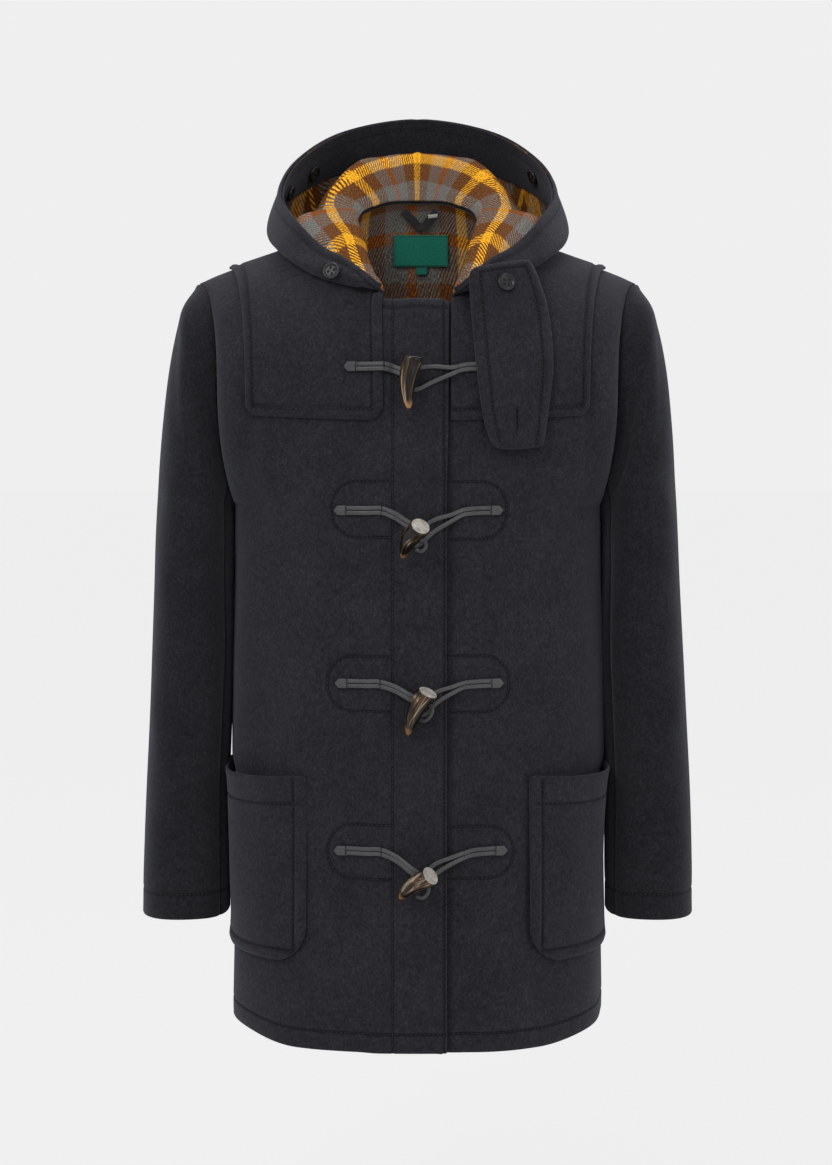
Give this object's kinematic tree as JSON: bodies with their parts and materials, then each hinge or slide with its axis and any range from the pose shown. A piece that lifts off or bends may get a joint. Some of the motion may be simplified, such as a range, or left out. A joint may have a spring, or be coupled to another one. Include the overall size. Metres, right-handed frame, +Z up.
{
  "type": "duffle coat",
  "caption": "Hooded wool coat, filled out as worn but hollow, open at hem, cuffs and neck, closed at the front by horn toggles and leather cords.",
  "frame": {"origin": "inside the neck on the middle line, level with the top of the shoulder seams, where a wearer's neck and shoulders carry the coat", "axes": "+Z up, the front faces -Y, the wearer's left side is at +X"},
  "size_m": [0.574, 0.4203, 0.9541],
  "materials": {
    "melton": "felted heavy wool, dark navy, fine nap",
    "melton_facing": "felted heavy wool, dark navy",
    "leather": "dark grey, slightly glossy",
    "horn": "dark brown natural horn with amber streaks, polished",
    "button": "black, satin",
    "label_cloth": "smooth woven tape, bottle green, bare"
  },
  "bodies": {
    "root": {"front_right": "melton", "sleeve_right_top": "melton", "sleeve_right_under": "melton", "pocket_right": "melton", "hood_right": "melton", "hood_facing_right": "melton_facing", "front_left": "melton", "sleeve_left_top": "melton", "sleeve_left_under": "melton", "pocket_left": "melton", "hood_left": "melton", "hood_facing_left": "melton_facing", "back": "melton", "yoke": "melton", "throat_tab": "melton", "toggle_1": "horn", "cord_right_1": "leather", "cord_left_1": "leather", "toggle_2": "horn", "cord_right_2": "leather", "cord_left_2": "leather", "toggle_3": "horn", "cord_right_3": "leather", "cord_left_3": "leather", "toggle_4": "horn", "cord_right_4": "leather", "cord_left_4": "leather", "neck_label": "label_cloth", "size_tab": "label_cloth", "hanger_loop": "leather", "button_throat": "button", "button_hood_front": "button", "button_hood_right": "button", "hood_tab": "melton", "button_hood_tab": "button", "button_hood_left": "button"}
  },
  "joints": []
}
